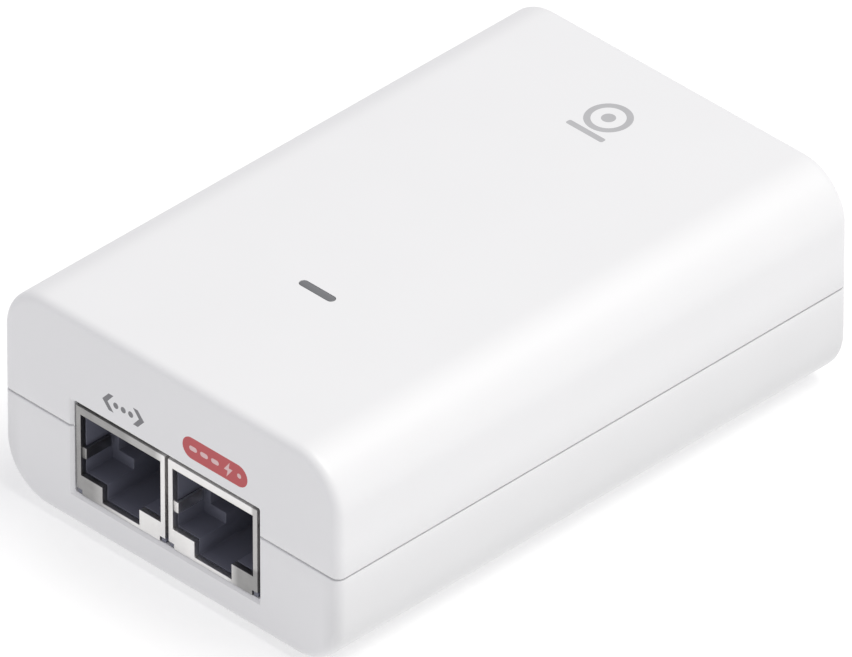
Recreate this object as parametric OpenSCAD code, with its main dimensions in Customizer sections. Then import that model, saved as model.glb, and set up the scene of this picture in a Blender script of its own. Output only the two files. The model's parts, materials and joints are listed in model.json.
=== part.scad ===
// Power-over-Ethernet injector: a clamshell case with two shielded RJ45 jacks at the front end,
// a three-pin mains inlet at the rear end and a switching power supply on one board between them.
// X runs across the jacks, Y from the jacks to the mains inlet, Z up. The feet stand on z = 0.

/* [Case] */
// Width of the case across the jacks
case_w = 58.5; // [58:0.5:64]
// Length of the case from the jack end to the mains end
case_l = 89; // [88:0.5:96]
// Height of the case without its feet
case_h = 31.3; // [31:0.1:34]
// Radius of the four long edges
long_r = 7.4; // [6.5:0.1:7.6]
// Radius of the edges around both end faces
end_r = 1.2; // [0.6:0.1:1.6]
// Wall thickness of both shells
wall = 2; // [1.8:0.1:2.2]
// Thickness of the floor of the bottom shell
floor_t = 1.8; // [1.7:0.1:2]
// Height of the seam above the underside of the case
seam_h = 14.4; // [12:0.1:16]
// Height of the fine groove that marks the seam
seam_gap = 0.25; // [0.2:0.05:0.5]

/* [Feet and label] */
// Height of the case above the table
foot_h = 1; // [0.6:0.1:2]
// Diameter of each rubber foot
foot_d = 8; // [6:0.5:9]
// Distance between the left and right feet
foot_span_x = 33; // [28:1:34]
// Distance between the front and rear feet
foot_span_y = 72; // [60:1:76]

/* [Jacks] */
// Width of one jack over its metal shield
jack_w = 15.5; // [15:0.1:16.1]
// Height of one jack over its metal shield
jack_h = 13.2; // [13:0.1:13.5]
// Depth of one jack
jack_d = 18; // [16:0.5:19]
// Gap between the two jacks
jack_gap = 0.6; // [0.2:0.05:0.9]
// Centre of the pair of jacks across the case
jack_x = -0.95; // [-2:0.05:0]
// Underside of the jacks above the underside of the case
jack_z = 4.75; // [4.7:0.05:5]

/* [Mains inlet] */
// Width of the socket for the mains connector
inlet_w = 24.2; // [24:0.1:24.4]
// Height of the socket for the mains connector
inlet_h = 16.2; // [16:0.1:16.4]
// Depth of the socket for the mains connector
inlet_d = 17; // [16.5:0.1:17.5]

/* [Prints and light] */
// Length of the light bar in the top
light_l = 6; // [4:0.1:7]
// Width of the light bar in the top
light_w = 1.3; // [0.8:0.1:1.4]
// Length of the red label over the power jack
pill_l = 11.3; // [10:0.1:12]
// Height of the red label over the power jack
pill_h = 3.2; // [2.8:0.1:3.4]
// Outer diameter of the ring printed on the top
mark_d = 6.3; // [5:0.1:8]

/* [Hidden] */
$fn = 64;
eps = 0.01;

// Levels of the case
base_z = foot_h;
top_z = base_z + case_h;
seam_z = base_z + seam_h;
floor_z = base_z + floor_t;
ceiling_z = top_z - wall;
mid_z = base_z + case_h / 2;
front_y = -case_l / 2;
rear_y = case_l / 2;
inner_r = long_r - wall;
inner_w = case_w - 2 * wall;
inner_l = case_l - 2 * wall;

// Tongue of the bottom shell, which stands inside the rim of the cover
tongue_t = 0.9;
tongue_h = 1.4;
seam_depth = 0.5;

// Snap hooks on the long walls
hook_l = 6;
hook_places = [-26, 18];

// Jacks
sheet_t = 0.3;
jack_pitch = jack_w + jack_gap;
jack_front = front_y + 0.3;
jack_low = base_z + jack_z;
jack_top = jack_low + jack_h;
lan_x = jack_x - jack_pitch / 2;
poe_x = jack_x + jack_pitch / 2;
mouth_w = 14;
mouth_h = 9.15;
mouth_drop = 1.15;
mouth_z = jack_top - mouth_drop;
rim_d = 0.9;
latch_w = 6.5;
latch_h = 11.5;
plug_w = 12;
plug_z = mouth_z - 0.6;
plug_h = 7;
plug_d = 14;
flare_d = 5.5;
contact_n = 8;
contact_pitch = 1.02;
contact_w = 0.4;
skirt_l = 4;
corner_w = 0.95;
corner_h = 0.75;
corner_l = 2.4;
finger_out = 0.5;
finger_start = 0.5;
finger_end = 4.8;
finger_h = 1.6;
finger_z = mouth_z - 6.8;
case_gap = 0.15;
jack_room = 0.4;
chamfer = 0.45;

// Mains inlet
inlet_body_w = inlet_w + 3;
inlet_body_h = inlet_h + 3.6;
inlet_rear = rear_y - 0.3;
inlet_back = 2.7;
inlet_front = inlet_rear - inlet_d - inlet_back;
inlet_corner = 4.6;
pin_t = 2;
pin_h = 4;
pin_span = 14;
pin_l = 16;
pin_offset = 2;
tail_t = 0.8;

// Board
board_t = 1.6;
board_z = jack_low - 0.15;
board_w = 50;
board_front = front_y + wall + 0.3;
board_rear = rear_y - wall - 2;
post_x = 22.3;
post_r = 1.6;
post_places = [-39.6, 38.4];

// Parts of the board: centre of the footprint, then sizes. A can's size is its radius and height
slot_x = 3.2;
slot_y = [-14, -3];
slot_w = 1;
film_w = 40.4;
film_t = 0.25;
lead_t = 0.8;
pin_pitch = 1.27;
can_bevel = 0.8;
fuse_at = [20, 29.4];
fuse_size = [4.2, 8];
disc_r = 4.6;
disc_t = 3.6;
disc_lift = 2;
disc_leads = 5;
thermistor_at = [-19.6, 32.4];
varistor_at = [-19.6, 27.2];
x_capacitor_at = [-12, 19.4];
x_capacitor_size = [17.5, 7.6, 14];
choke_at = [10.5, 16.6];
choke_r = 6.4;
choke_bore_r = 3.6;
choke_h = 5.6;
choke_turn = 120;
wire_t = 0.9;
bridge_at = [-16, 12.6];
bridge_size = [14, 3.6, 10];
bridge_lift = 2;
bridge_pitch = 3.8;
bulk_at = [15, 0.2];
bulk_size = [8, 20];
sink_x = 23.3;
sink_t = 1.2;
sink_w = 14;
sink_h = 20;
screw_z = 16;
screw_head = 1.2;
transistor_y = 15;
diode_y = -18.6;
package_w = 10;
package_t = 4.4;
package_z = 4;
package_pitch = 2.54;
tab_t = 1.2;
core_at = [-10, -1];
core_size = [24, 6.6, 18];
core_bar = 3.2;
core_leg = 6;
core_lift = 2;
bobbin_w = 16.8;
bobbin_l = 17;
flange_t = 1;
winding_w = 15.6;
winding_l = 16;
coupler_at = [20, -11.6];
coupler_size = [6.4, 4.6, 3.4];
y_capacitor_at = [4.55, -0.5];
output_y = -19.6;
output_size = [4.9, 16];
inductor_at = [8.2, -10.3];
inductor_h = 8;
drum_r = 3.8;
drum_t = 1.4;
drum_waist = 2;
magnetics_at = [19.4, -19.8];
magnetics_size = [7, 10.4, 4.6];
controller_at = [-4.9, -20];
controller_size = [3, 4.9, 1.4];
small_at = [-6.4, 12];
small_pitch = [2.6, 2];
small_size = [1.6, 0.9, 0.6];

// Prints
print_t = 0.3;
light_x = 0.5;
light_y = -19.5;
pill_x = 7.9;
pill_z = base_z + 21.9;
lan_sign_x = -8.1;
lan_sign_z = base_z + 21.6;
mark_x = -0.4;
mark_y = 32.2;
mark_stroke = 0.9;
label_w = 34;
label_l = 44;

// Colours
white = [0.93, 0.93, 0.93];
black = [0.08, 0.08, 0.09];
steel = [0.75, 0.76, 0.78];
nickel = [0.7, 0.69, 0.66];
gold = [0.85, 0.68, 0.3];
copper = [0.72, 0.4, 0.2];
ferrite = [0.2, 0.2, 0.22];
green = [0.1, 0.35, 0.18];

// ---------------------------------------------------------------- helpers

// A box given by its lowest corner and its highest corner.
module span_box(low, high) {
  translate(low) cube(high - low);
}

// A shape drawn in X and Z, pulled along Y from one place to another.
module along_y(y0, y1) {
  translate([0, y1, 0]) rotate([90, 0, 0]) linear_extrude(y1 - y0) children();
}

// Quarter round section of an edge strip: r is the reach, e the radius of its outer corner.
module edge_section(r, e) {
  square([r - e, e]);
  intersection() {
    translate([r - e, 0]) circle(e);
    translate([r - e, 0]) square([e, e]);
  }
}

// Rounded rectangle in X and Z made of strips and quarter discs, centred on the origin.
module rounded_outline(w, h, r) {
  square([w - 2 * r, h], center = true);
  for (s = [-1, 1])
    translate([s * (w / 2 - r / 2), 0]) square([r, h - 2 * r], center = true);
  for (s = [-1, 1], t = [-1, 1])
    translate([s * (w / 2 - r), t * (h / 2 - r)])
      intersection() {
        circle(r);
        translate([s * r / 2, t * r / 2]) square([r, r], center = true);
      }
}

// End slab of the case, e thick: every edge of its outline is rounded off by e towards +Z.
module end_slab(w, h, r, e) {
  translate([-(w / 2 - r), -(h / 2 - r), 0]) cube([w - 2 * r, h - 2 * r, e]);
  for (turn = [0, 180]) {
    rotate(turn) translate([w / 2 - r, h / 2 - r, 0]) rotate([90, 0, 0])
      linear_extrude(h - 2 * r) edge_section(r, e);
    rotate(turn) translate([w / 2 - r, h / 2 - r, 0]) rotate([90, 0, -90])
      mirror([1, 0, 0]) linear_extrude(w - 2 * r) edge_section(r, e);
  }
  for (i = [0:3]) {
    sx = (i == 0 || i == 3) ? 1 : -1;
    sy = (i < 2) ? 1 : -1;
    translate([sx * (w / 2 - r), sy * (h / 2 - r), 0]) rotate(90 * i)
      rotate_extrude(angle = 90) edge_section(r, e);
  }
}

// Whole outside of the case, lying along Y.
module case_block() {
  translate([0, 0, mid_z]) {
    along_y(front_y + end_r, rear_y - end_r) rounded_outline(case_w, case_h, long_r);
    translate([0, rear_y - end_r, 0]) rotate([-90, 0, 0]) end_slab(case_w, case_h, long_r, end_r);
    translate([0, front_y + end_r, 0]) rotate([90, 0, 0]) end_slab(case_w, case_h, long_r, end_r);
  }
}

// Hollow of the case. Its floor is a little higher than its walls are thick.
module case_hollow() {
  translate([0, 0, (floor_z + ceiling_z) / 2])
    along_y(-inner_l / 2, inner_l / 2) rounded_outline(inner_w, ceiling_z - floor_z, inner_r);
}

// Opening for both jacks in the front wall, with its chamfer.
module jack_opening() {
  x0 = lan_x - jack_w / 2 - jack_room;
  x1 = poe_x + jack_w / 2 + jack_room;
  z0 = jack_low - 0.05;
  z1 = jack_top + jack_room;
  span_box([x0, front_y - 1, z0], [x1, front_y + wall + 1, z1]);
  intersection() {
    translate([x0 - chamfer, 0, 0]) rotate([90, 0, 90]) linear_extrude(x1 - x0 + 2 * chamfer)
      polygon([[front_y - 1, z0 - chamfer - 1], [front_y + chamfer, z0],
               [front_y + chamfer, z1], [front_y - 1, z1 + chamfer + 1]]);
    translate([0, 0, z0 - chamfer]) linear_extrude(z1 - z0 + 2 * chamfer)
      polygon([[x0 - chamfer - 1, front_y - 1], [x0, front_y + chamfer],
               [x1, front_y + chamfer], [x1 + chamfer + 1, front_y - 1]]);
  }
}

// Outline of the mains inlet, with the two corners beside the earth pin cut off.
module inlet_outline(w, h, corner) {
  polygon([[-w / 2, -h / 2], [w / 2, -h / 2], [w / 2, h / 2 - corner],
           [w / 2 - corner, h / 2], [-w / 2 + corner, h / 2], [-w / 2, h / 2 - corner]]);
}

// Opening for the mains inlet in the rear wall.
module inlet_opening() {
  translate([0, 0, mid_z]) along_y(rear_y - wall - 1, rear_y + 1)
    inlet_outline(inlet_body_w + 2 * case_gap, inlet_body_h + 2 * case_gap, inlet_corner);
}

// Bar with round ends, standing on z = 0.
module round_bar(l, w, t) {
  translate([-(l - w) / 2, -w / 2, 0]) cube([l - w, w, t]);
  for (s = [-1, 1]) translate([s * (l - w) / 2, 0, 0]) cylinder(d = w, h = t);
}

// Outlines of the printed signs, drawn in X and Z.
module pill_outline() {
  square([pill_l - pill_h, pill_h], center = true);
  for (s = [-1, 1]) translate([s * (pill_l - pill_h) / 2, 0]) circle(d = pill_h);
}

// Network sign: two chevrons with three dots between them.
module lan_outline() {
  for (s = [-1, 1]) scale([s, 1])
    polygon([[3.65, 0], [2.55, 1.25], [1.7, 1.25], [2.75, 0], [1.7, -1.25], [2.55, -1.25]]);
  for (x = [-1.3, 0, 1.3]) translate([x, 0]) circle(0.44);
}

// Plain ring and bar printed on the top.
module mark_outline() {
  difference() {
    circle(d = mark_d);
    circle(d = mark_d - 2 * mark_stroke);
  }
  circle(d = mark_d * 0.3);
  translate([0, -mark_d * 0.64]) square([mark_d, mark_stroke], center = true);
}

module place_pill(t) {
  translate([pill_x, 0, pill_z]) along_y(front_y, front_y + t) pill_outline();
}

module place_lan_sign(t) {
  translate([lan_sign_x, 0, lan_sign_z]) along_y(front_y, front_y + t) lan_outline();
}

module place_mark(t) {
  translate([mark_x, mark_y, top_z - t]) linear_extrude(t) mark_outline();
}

// ---------------------------------------------------------------- case

module top_cover() {
  color(white) {
    difference() {
      intersection() {
        case_block();
        span_box([-case_w, -case_l, seam_z + seam_gap], [case_w, case_l, top_z + 5]);
      }
      case_hollow();
      // Rebate that takes the tongue of the bottom shell.
      span_box([-inner_w / 2 - tongue_t - 0.1, -inner_l / 2 - tongue_t - 0.1, seam_z - 1],
               [inner_w / 2 + tongue_t + 0.1, inner_l / 2 + tongue_t + 0.1, seam_z + tongue_h + 0.2]);
      jack_opening();
      inlet_opening();
      translate([light_x, light_y, ceiling_z - 1]) round_bar(light_l, light_w, wall + 2);
      place_pill(print_t);
      place_lan_sign(print_t);
      place_mark(print_t);
    }
    // Posts that hold the board down.
    for (sx = [-1, 1], y = post_places)
      translate([sx * post_x, y, board_z]) cylinder(r = post_r, h = top_z - 1.6 - board_z);
    // Snap hooks.
    for (sx = [-1, 1], y = hook_places) {
      x0 = inner_w / 2 - 1.1;
      scale([sx, 1, 1]) {
        span_box([x0, y, seam_z - 2.8], [x0 + 1, y + hook_l, seam_z + 4]);
        span_box([x0 + 1 - eps, y, seam_z + 2], [inner_w / 2 + 0.2, y + hook_l, seam_z + 4]);
        span_box([x0 + 1 - eps, y + 0.5, seam_z - 2.4], [inner_w / 2 + 0.4, y + hook_l - 0.5, seam_z - 1.6]);
      }
    }
  }
}

module bottom_case() {
  color(white) {
    difference() {
      union() {
        difference() {
          intersection() {
            case_block();
            span_box([-case_w, -case_l, base_z - 5], [case_w, case_l, seam_z + seam_gap]);
          }
          case_hollow();
          // Groove of the seam: the rim is cut back all round.
          difference() {
            span_box([-case_w, -case_l, seam_z], [case_w, case_l, seam_z + 1]);
            span_box([-case_w / 2 + seam_depth, front_y + seam_depth, seam_z - 1],
                     [case_w / 2 - seam_depth, rear_y - seam_depth, seam_z + 2]);
          }
        }
        // Tongue that stands inside the rim of the cover.
        difference() {
          span_box([-inner_w / 2 - tongue_t, -inner_l / 2 - tongue_t, seam_z],
                   [inner_w / 2 + tongue_t, inner_l / 2 + tongue_t, seam_z + tongue_h]);
          span_box([-inner_w / 2, -inner_l / 2, seam_z - 1],
                   [inner_w / 2, inner_l / 2, seam_z + tongue_h + 1]);
        }
      }
      jack_opening();
      inlet_opening();
      // Pockets for the snap hooks.
      for (sx = [-1, 1], y = hook_places) scale([sx, 1, 1])
        span_box([inner_w / 2 - 1, y, seam_z - 2.9], [inner_w / 2 + 0.6, y + hook_l, seam_z - 1.4]);
      // Shallow seats for the feet and the rating label.
      for (x = [-1, 1], y = [-1, 1])
        translate([x * foot_span_x / 2, y * foot_span_y / 2, base_z - 1]) cylinder(d = foot_d + 0.3, h = 1.6);
      span_box([-label_w / 2, -label_l / 2, base_z - 1], [label_w / 2, label_l / 2, base_z + print_t]);
    }
    // Posts that carry the board.
    for (sx = [-1, 1], y = post_places)
      translate([sx * post_x, y, base_z + 1.2]) cylinder(r = post_r, h = board_z - board_t - base_z - 1.2);
  }
}

// One rubber foot with a rounded lower edge.
module foot(sx, sy) {
  r = foot_d / 2;
  color([0.2, 0.2, 0.2])
    translate([sx * foot_span_x / 2, sy * foot_span_y / 2, 0]) rotate_extrude() {
      translate([0, 0.4]) square([r, base_z + 0.2]);
      square([r - 0.4, 0.4]);
      intersection() {
        translate([r - 0.4, 0.4]) circle(0.4);
        translate([r - 0.4, 0]) square([0.4, 0.4]);
      }
    }
}

module light_pipe() {
  color([0.8, 0.82, 0.85]) translate([light_x, light_y, 0]) {
    translate([0, 0, ceiling_z - eps]) round_bar(light_l - 0.1, light_w - 0.1, wall + eps);
    span_box([-light_l / 2 - 0.8, -1.4, ceiling_z - 1], [light_l / 2 + 0.8, 1.4, ceiling_z]);
    span_box([-1.5, -0.5, board_z + 1.3], [1.5, 0.5, ceiling_z - 1 + eps]);
  }
}

module status_led() {
  color([0.95, 0.9, 0.7]) translate([light_x, light_y, 0])
    span_box([-1.5, -0.75, board_z], [1.5, 0.75, board_z + 1.1]);
}

// ---------------------------------------------------------------- prints

// Red pill over the jack that carries power.
module poe_label() {
  color([0.78, 0.3, 0.32]) place_pill(print_t);
}

module lan_label() {
  color([0.62, 0.63, 0.65]) place_lan_sign(print_t);
}

module top_mark() {
  color([0.75, 0.76, 0.77]) place_mark(print_t);
}

module rating_label() {
  color([0.82, 0.83, 0.84])
    span_box([-label_w / 2 + 0.2, -label_l / 2 + 0.2, base_z + 0.02],
             [label_w / 2 - 0.2, label_l / 2 - 0.2, base_z + print_t]);
}

// ---------------------------------------------------------------- jacks

// Left edge of contact number i, from the middle of its jack.
function contact_x(i) = (i - (contact_n - 1) / 2) * contact_pitch - contact_w / 2;

// Section of the mouth of a jack in X and Z: the plug's width above, the latch slot below.
module mouth_outline(w, h, slot_w, slot_h) {
  translate([-w / 2, -h]) square([w, h]);
  translate([-slot_w / 2, -slot_h]) square([slot_w, slot_h]);
}

// Folded sheet-metal shield of a jack.
module jack_shield(x) {
  color(steel) translate([x, 0, 0]) {
    difference() {
      union() {
        // Can, open below.
        difference() {
          span_box([-jack_w / 2, jack_front, jack_low], [jack_w / 2, jack_front + jack_d, jack_top]);
          span_box([-jack_w / 2 + sheet_t, jack_front + sheet_t, jack_low - 1],
                   [jack_w / 2 - sheet_t, jack_front + jack_d - sheet_t, jack_top - sheet_t]);
          span_box([-jack_w, jack_front + skirt_l, jack_low - 1],
                   [jack_w, jack_front + jack_d + 1, jack_low + 0.4]);
        }
        // Edge of the mouth, rolled inwards.
        translate([0, 0, mouth_z + sheet_t]) along_y(jack_front, jack_front + rim_d)
          mouth_outline(mouth_w + 2 * sheet_t, mouth_h + 2 * sheet_t,
                        latch_w + 2 * sheet_t, latch_h + 2 * sheet_t);
      }
      translate([0, 0, mouth_z]) along_y(jack_front - 1, jack_front + rim_d + 1)
        mouth_outline(mouth_w, mouth_h, latch_w, latch_h);
      // Both lower corners are cut off, for the feet of the housing.
      for (s = [-1, 1]) scale([s, 1, 1])
        span_box([jack_w / 2 - corner_w, jack_front - 1, jack_low - 1],
                 [jack_w / 2 + 1, jack_front + corner_l, jack_low + corner_h]);
    }
    // Spring fingers that touch the shield of the plug.
    for (s = [-1, 1]) scale([s, 1, 1]) {
      span_box([mouth_w / 2 - finger_out, jack_front + finger_start, finger_z],
               [mouth_w / 2 + sheet_t / 2, jack_front + rim_d, finger_z + finger_h]);
      span_box([mouth_w / 2 - finger_out, jack_front + rim_d - eps, finger_z],
               [mouth_w / 2 - 0.1, jack_front + finger_end, finger_z + finger_h]);
    }
  }
}

module jack_housing(x) {
  front = jack_front + rim_d + 0.05;
  back = jack_front + jack_d - sheet_t - 0.05;
  half = jack_w / 2 - sheet_t - 0.05;
  color(black) translate([x, 0, 0]) difference() {
    union() {
      span_box([-half, front, jack_low], [half, back, jack_top - sheet_t - 0.05]);
      for (s = [-1, 1]) scale([s, 1, 1])
        span_box([jack_w / 2 - corner_w + 0.1, jack_front + 0.2, jack_low],
                 [jack_w / 2 - 0.05, jack_front + corner_l - 0.1, jack_low + corner_h - 0.1]);
    }
    // Wide mouth, then the plug's own space with the latch slot under it.
    translate([0, 0, mouth_z]) along_y(jack_front, jack_front + flare_d)
      mouth_outline(mouth_w, mouth_h, latch_w, latch_h);
    translate([0, 0, plug_z]) along_y(jack_front, jack_front + plug_d)
      mouth_outline(plug_w, plug_h, latch_w, latch_h - 0.6);
    // Comb of slots for the contacts.
    for (i = [0 : contact_n - 1])
      translate([contact_x(i) - 0.05, jack_front + flare_d - 0.5, plug_z - 0.5])
        cube([contact_w + 0.1, plug_d - flare_d + 0.5, 1.5]);
  }
}

// Eight sprung wires, each one rising from the roof of the socket towards its mouth.
module jack_contacts(x) {
  color(gold) translate([x, 0, 0])
    for (i = [0 : contact_n - 1])
      translate([contact_x(i), 0, 0]) rotate([90, 0, 90]) linear_extrude(contact_w)
        polygon([[jack_front + flare_d, plug_z + 0.7], [jack_front + flare_d, plug_z + 0.4],
                 [jack_front + plug_d - 1, plug_z - 1.35], [jack_front + plug_d - 0.6, plug_z - 1.2],
                 [jack_front + flare_d + 0.6, plug_z + 0.7]]);
}

// ---------------------------------------------------------------- mains inlet

module inlet_housing() {
  color(black) difference() {
    union() {
      translate([0, 0, mid_z]) along_y(inlet_front, inlet_rear)
        inlet_outline(inlet_body_w, inlet_body_h, inlet_corner - 0.2);
      // Flange behind the rear wall, and two feet on the board.
      span_box([-inlet_body_w / 2 - 1.8, rear_y - wall - 1.6, board_z + 0.4],
               [inlet_body_w / 2 + 1.8, rear_y - wall - 0.1, mid_z + inlet_body_h / 2 + 1.4]);
      for (s = [-1, 1])
        span_box([s * 10 - 1.5, inlet_front + 4, board_z], [s * 10 + 1.5, inlet_front + 8, mid_z]);
    }
    translate([0, 0, mid_z]) along_y(inlet_rear - inlet_d, inlet_rear + 1)
      inlet_outline(inlet_w, inlet_h, inlet_corner);
    // Slots for the three pins.
    for (p = [[-pin_span / 2, -pin_offset], [pin_span / 2, -pin_offset], [0, pin_offset]])
      span_box([p[0] - pin_t / 2, inlet_front - 1, mid_z + p[1] - pin_h / 2],
               [p[0] + pin_t / 2, inlet_rear, mid_z + p[1] + pin_h / 2]);
  }
}

// One flat pin with a chamfered tip and a tail that goes down to the board.
module inlet_pin(x, dz) {
  y0 = inlet_front;
  y1 = inlet_rear - inlet_d + pin_l;
  z = mid_z + dz;
  color(nickel) translate([x, 0, 0]) {
    intersection() {
      span_box([-pin_t / 2, y0, z - pin_h / 2], [pin_t / 2, y1, z + pin_h / 2]);
      translate([-pin_t, 0, z]) rotate([90, 0, 90]) linear_extrude(2 * pin_t)
        polygon([[y0 - 1, -pin_h], [y1 - 1.4, -pin_h / 2], [y1, -pin_h / 2 + 0.8],
                 [y1, pin_h / 2 - 0.8], [y1 - 1.4, pin_h / 2], [y0 - 1, pin_h]]);
    }
    span_box([-pin_t / 2, y0 - tail_t, board_z], [pin_t / 2, y0, z + pin_h / 2]);
  }
}

// ---------------------------------------------------------------- board and its parts

module main_board() {
  color(green) difference() {
    span_box([-board_w / 2, board_front, board_z - board_t], [board_w / 2, board_rear, board_z]);
    // Safety slot between the mains side and the low-voltage side.
    span_box([slot_x, slot_y[0], board_z - 3], [slot_x + slot_w, slot_y[1], board_z + 1]);
  }
}

module insulation_sheet() {
  color([0.9, 0.9, 0.85])
    span_box([-film_w / 2, board_front, floor_z], [film_w / 2, board_rear, floor_z + film_t]);
}

// A box that stands on the board: its centre, its size and how far it is lifted.
module board_box(at, size, lift = 0) {
  translate([at[0] - size[0] / 2, at[1] - size[1] / 2, board_z + lift]) cube(size);
}

// Upright can on the board with a bevelled top edge: its centre, its radius and height.
module board_can(at, size) {
  r = size[0];
  h = size[1];
  translate([at[0], at[1], board_z]) rotate_extrude()
    polygon([[0, 0], [r, 0], [r, h - can_bevel], [r - can_bevel, h], [0, h]]);
}

// Rows of pins on both sides of a chip: centre, reach to each side, number, pitch and size of a pin.
module pin_rows(at, reach, count, pitch, size) {
  for (s = [-1, 1], i = [0 : count - 1])
    board_box([at[0] + s * reach, at[1] + (i - (count - 1) / 2) * pitch], size);
}

module disc_part(at) {
  translate([at[0], at[1] + disc_t / 2, board_z + disc_r + disc_lift]) rotate([90, 0, 0])
    cylinder(r = disc_r, h = disc_t);
  for (s = [-1, 1]) board_box([at[0] + s * disc_leads / 2, at[1]], [lead_t, lead_t, disc_lift + 2]);
}

module fuse() {
  color([0.25, 0.22, 0.2]) board_can(fuse_at, fuse_size);
}

module thermistor() {
  color([0.25, 0.35, 0.28]) disc_part(thermistor_at);
}

module varistor() {
  color([0.2, 0.35, 0.65]) disc_part(varistor_at);
}

module x_capacitor() {
  color([0.85, 0.75, 0.3]) board_box(x_capacitor_at, x_capacitor_size);
}

// Ring with the given radii and height, standing on z = 0.
module ring(outer_r, inner_r, h) {
  difference() {
    cylinder(r = outer_r, h = h);
    translate([0, 0, -1]) cylinder(r = inner_r, h = h + 2);
  }
}

module choke_core() {
  color(ferrite) translate([choke_at[0], choke_at[1], board_z + wire_t + 0.3])
    ring(choke_r, choke_bore_r, choke_h);
}

// One winding of the choke: a sleeve of wire around part of the ring core.
module choke_winding(start) {
  color(copper) translate([choke_at[0], choke_at[1], board_z + 0.3]) rotate(start)
    rotate_extrude(angle = choke_turn) difference() {
      translate([choke_bore_r - wire_t, 0])
        square([choke_r - choke_bore_r + 2 * wire_t, choke_h + 2 * wire_t]);
      translate([choke_bore_r, wire_t]) square([choke_r - choke_bore_r, choke_h]);
    }
}

module bridge_rectifier() {
  color(black) {
    board_box(bridge_at, bridge_size, bridge_lift);
    for (i = [-1.5 : 1 : 1.5])
      board_box([bridge_at[0] + i * bridge_pitch, bridge_at[1]], [0.9, 0.9, bridge_lift + 0.2]);
  }
}

module bulk_capacitor() {
  color([0.12, 0.12, 0.3]) board_can(bulk_at, bulk_size);
}

// Upright power package of a transistor or diode; side is where its heat sink stands.
module power_package(y, side) {
  translate([side * sink_x, y, board_z]) scale([side, 1, 1]) {
    span_box([-package_t, -package_w / 2, package_z], [-tab_t, package_w / 2, package_z + 9]);
    span_box([-tab_t, -package_w / 2, package_z], [0, package_w / 2, package_z + 15]);
    for (i = [-1, 0, 1])
      span_box([-3.2, i * package_pitch - 0.5, 0], [-3.2 + lead_t, i * package_pitch + 0.5, package_z + 0.2]);
  }
}

module switching_transistor() {
  color(black) power_package(transistor_y, 1);
}

module output_diode() {
  color(black) power_package(diode_y, -1);
}

module heat_sink(side, y) {
  difference() {
    scale([side, 1, 1])
      span_box([sink_x, y - sink_w / 2, board_z], [sink_x + sink_t, y + sink_w / 2, board_z + sink_h]);
    translate([side * sink_x - 3, y, board_z + screw_z]) rotate([0, 90, 0]) cylinder(d = 3.2, h = 6);
  }
}

module primary_heat_sink() {
  color(steel) heat_sink(1, transistor_y);
}

module output_heat_sink() {
  color(steel) heat_sink(-1, diode_y);
}

// The two screws that clamp the power packages to their heat sinks.
module heat_sink_screws() {
  color(steel) for (p = [[1, transistor_y], [-1, diode_y]])
    translate([p[0] * (sink_x + sink_t), p[1], board_z + screw_z]) rotate([0, -90 * p[0], 0]) {
      translate([0, 0, -0.1]) cylinder(d = 2.9, h = sink_t);
      translate([0, 0, -screw_head]) cylinder(d = 5, h = screw_head);
    }
}

module transformer_core() {
  window_h = core_size[2] - 2 * core_bar;
  color(ferrite) translate([core_at[0], core_at[1], board_z + core_lift]) {
    for (z = [0, core_size[2] - core_bar])
      translate([-core_size[0] / 2, -core_size[1] / 2, z]) cube([core_size[0], core_size[1], core_bar]);
    for (s = [-1, 1])
      translate([s * (core_size[0] - core_bar) / 2 - core_bar / 2, -core_size[1] / 2, core_bar - eps])
        cube([core_bar, core_size[1], window_h + 2 * eps]);
    translate([-core_leg / 2, -core_size[1] / 2, core_bar - eps])
      cube([core_leg, core_size[1], window_h + 2 * eps]);
  }
}

module transformer_bobbin() {
  low = core_lift + core_bar + 0.2;
  high = core_lift + core_size[2] - core_bar - 0.2;
  color([0.15, 0.15, 0.15]) translate([core_at[0], core_at[1], board_z]) difference() {
    union() {
      for (z = [low, high - flange_t])
        span_box([-bobbin_w / 2, -bobbin_l / 2, z], [bobbin_w / 2, bobbin_l / 2, z + flange_t]);
      span_box([-core_leg / 2 - 1, -core_size[1] / 2 - 1, low],
               [core_leg / 2 + 1, core_size[1] / 2 + 1, high]);
      for (s = [-1, 1])
        span_box([-bobbin_w / 2, s * 9.2 - 1.4, 0], [bobbin_w / 2, s * 9.2 + 1.4, low + flange_t]);
    }
    span_box([-core_leg / 2 - 0.1, -core_size[1] / 2 - 0.1, 0],
             [core_leg / 2 + 0.1, core_size[1] / 2 + 0.1, high + 3]);
  }
}

module transformer_winding() {
  low = core_lift + core_bar + flange_t + 0.3;
  high = core_lift + core_size[2] - core_bar - flange_t - 0.3;
  color([0.9, 0.75, 0.2]) translate([core_at[0], core_at[1], board_z]) difference() {
    span_box([-winding_w / 2, -winding_l / 2, low], [winding_w / 2, winding_l / 2, high]);
    span_box([-core_leg / 2 - 1.1, -core_size[1] / 2 - 1.1, low - 1],
             [core_leg / 2 + 1.1, core_size[1] / 2 + 1.1, high + 1]);
  }
}

module optocoupler() {
  color(black) {
    board_box(coupler_at, coupler_size, 0.6);
    for (s = [-1, 1], t = [-1, 1])
      board_box([coupler_at[0] + s * pin_pitch, coupler_at[1] + t * 2.6], [1, 0.6, 2.2]);
  }
}

module y_capacitor() {
  color([0.2, 0.4, 0.75]) {
    translate([y_capacitor_at[0], y_capacitor_at[1], board_z + 5.6]) rotate([0, 90, 0])
      cylinder(r = 4, h = 3.4, center = true);
    for (s = [-1, 1])
      board_box([y_capacitor_at[0] + 0.9, y_capacitor_at[1] + s * 2.2], [lead_t, lead_t, 3.4]);
  }
}

module output_capacitor(x) {
  color([0.1, 0.25, 0.2]) board_can([x, output_y], output_size);
}

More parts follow.
